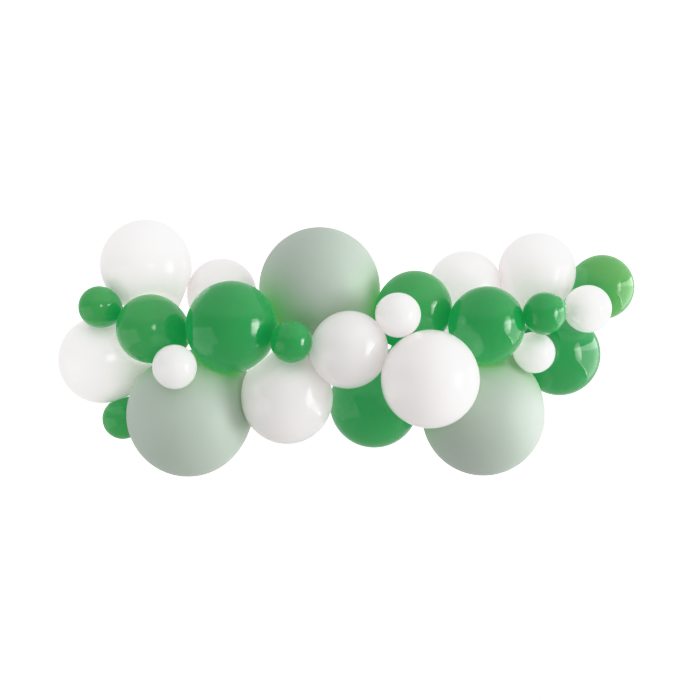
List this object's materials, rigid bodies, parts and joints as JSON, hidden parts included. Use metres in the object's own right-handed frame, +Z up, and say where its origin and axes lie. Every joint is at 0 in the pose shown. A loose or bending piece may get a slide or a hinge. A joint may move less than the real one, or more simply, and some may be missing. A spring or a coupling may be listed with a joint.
{
  "type": "balloon garland",
  "caption": "Long, nearly straight garland of tied latex balloons in white, leaf green and pale sage, small to large, pressed together to hang flat against a wall as party decoration.",
  "frame": {"origin": "the middle of the flat spot where the large balloon at the centre of the garland presses on the wall", "axes": "+Z up, +X along the garland to the viewer's right, +Y into the wall; the viewer stands on the -Y side"},
  "size_m": [1.704, 0.5414, 0.7457],
  "materials": {
    "white_latex": "satin, faintly pearly, stretched thin",
    "green_latex": "glossy, a little translucent where stretched",
    "sage_latex": "matt, chalky, opaque"
  },
  "bodies": {
    "root": {"white_balloon_1": "white_latex", "white_balloon_2": "white_latex", "white_balloon_3": "white_latex", "white_balloon_4": "white_latex", "white_balloon_5": "white_latex", "white_balloon_6": "white_latex", "white_balloon_7": "white_latex", "white_balloon_8": "white_latex", "small_white_balloon_1": "white_latex", "small_white_balloon_2": "white_latex", "small_white_balloon_3": "white_latex", "small_white_balloon_4": "white_latex", "green_balloon_1": "green_latex", "green_balloon_2": "green_latex", "green_balloon_3": "green_latex", "green_balloon_4": "green_latex", "green_balloon_5": "green_latex", "green_balloon_6": "green_latex", "green_balloon_7": "green_latex", "small_green_balloon_1": "green_latex", "small_green_balloon_2": "green_latex", "small_green_balloon_3": "green_latex", "small_green_balloon_4": "green_latex", "large_sage_balloon_1": "sage_latex", "large_sage_balloon_2": "sage_latex", "large_sage_balloon_3": "sage_latex"}
  },
  "joints": []
}
